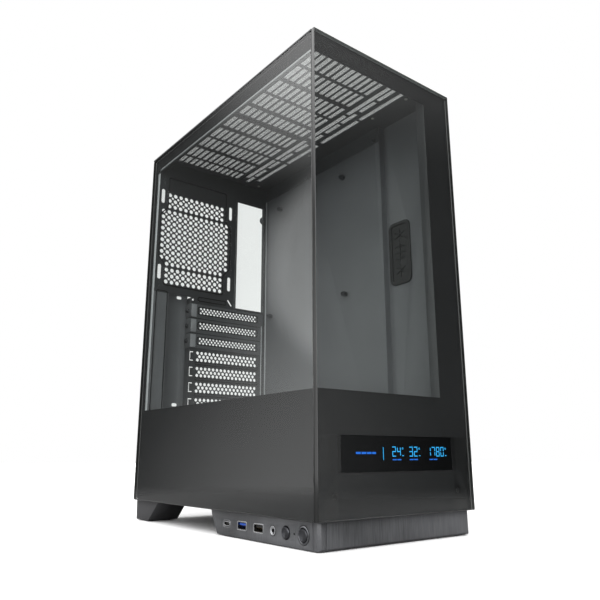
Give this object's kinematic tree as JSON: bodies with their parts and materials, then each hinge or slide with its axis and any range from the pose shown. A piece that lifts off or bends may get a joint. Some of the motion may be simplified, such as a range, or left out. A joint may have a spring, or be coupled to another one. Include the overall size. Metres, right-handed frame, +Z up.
{
  "type": "mid tower pc case",
  "caption": "Mid tower computer case with a glass front and side, a slotted roof, a vented rear wall, a display strip and a raised base with ports.",
  "frame": {"origin": "centre of the case's footprint on the floor", "axes": "+Z up, -Y towards the front glass, -X towards the left glass"},
  "size_m": [0.194, 0.353, 0.4637],
  "materials": {
    "black_steel": "satin powder coat",
    "cover_steel": "satin powder coat",
    "clear_glass": "polished tempered glass",
    "printed_black": "ceramic print behind glass",
    "screen_black": "gloss",
    "brushed_plastic": "vertically brushed moulding",
    "black_plastic": "fine moulded texture",
    "black_rubber": "matt",
    "fine_mesh": "woven nylon mesh",
    "bare_steel": "nickel plated",
    "black_screw": "black zinc",
    "button_metal": "spun",
    "ring_metal": "bright",
    "blue_plastic": "moulded",
    "socket_black": "moulded",
    "board_green": "solder mask",
    "light_clear": "clear moulding"
  },
  "bodies": {
    "chassis": {"bottom_pan": "black_steel", "rear_wall": "black_steel", "supply_panel": "black_steel", "roof_panel": "black_steel", "motherboard_tray": "black_steel", "front_frame": "black_steel", "power_supply_shroud": "black_steel", "cable_grommet": "black_rubber", "motherboard_standoffs": "black_screw", "tray_screws": "black_screw", "slot_cover_screws": "black_screw", "slot_screw_cover": "black_steel", "slot_screw_cover_screws": "black_screw", "slot_cover_1": "black_steel", "slot_cover_2": "black_steel", "slot_cover_3": "black_steel", "glass_clips": "black_plastic", "display_screen": "screen_black", "display_housing": "black_plastic", "top_filter_frame": "black_rubber", "top_filter_mesh": "fine_mesh", "supply_pads": "black_rubber", "front_base": "brushed_plastic", "base_pads": "black_rubber", "rear_foot_left": "brushed_plastic", "rear_foot_right": "brushed_plastic", "foot_pads": "black_rubber", "power_button_ring": "ring_metal", "status_light": "light_clear", "usb_c_shell": "bare_steel", "usb_c_insert": "socket_black", "usb3_shell": "bare_steel", "usb3_insert": "blue_plastic", "usb2_shell": "bare_steel", "usb2_insert": "socket_black", "audio_jack": "socket_black", "io_board": "board_green", "front_switches": "black_plastic"},
    "left_glass": {"left_glass_pane": "clear_glass", "left_glass_border": "printed_black", "left_glass_studs": "bare_steel"},
    "front_glass": {"front_glass_pane": "clear_glass", "front_glass_border": "printed_black", "front_glass_studs": "bare_steel"},
    "right_cover": {"right_side_panel": "cover_steel", "cover_thumbscrews": "black_screw"},
    "intake_filter": {"intake_filter_frame": "black_plastic", "intake_filter_mesh": "fine_mesh"},
    "power_push": {"power_button": "button_metal"},
    "reset_push": {"reset_button": "button_metal"}
  },
  "joints": [
    {"name": "left_glass_pull", "type": "slide", "parent": "chassis", "child": "left_glass", "axis": [-1, 0, 0], "range_m": [0, 0.02]},
    {"name": "front_glass_pull", "type": "slide", "parent": "chassis", "child": "front_glass", "axis": [0, -1, 0], "range_m": [0, 0.02]},
    {"name": "right_cover_slide", "type": "slide", "parent": "chassis", "child": "right_cover", "axis": [0, 1, 0], "range_m": [0, 0.015]},
    {"name": "intake_filter_slide", "type": "slide", "parent": "chassis", "child": "intake_filter", "axis": [0, 1, 0], "range_m": [0, 0.15]},
    {"name": "power_button_press", "type": "slide", "parent": "chassis", "child": "power_push", "axis": [1, 0, 0], "range_m": [0, 0.0015], "stiffness_N_per_m": 500, "springref_m": -0.0005},
    {"name": "reset_button_press", "type": "slide", "parent": "chassis", "child": "reset_push", "axis": [1, 0, 0], "range_m": [0, 0.0015], "stiffness_N_per_m": 500, "springref_m": -0.0005}
  ]
}
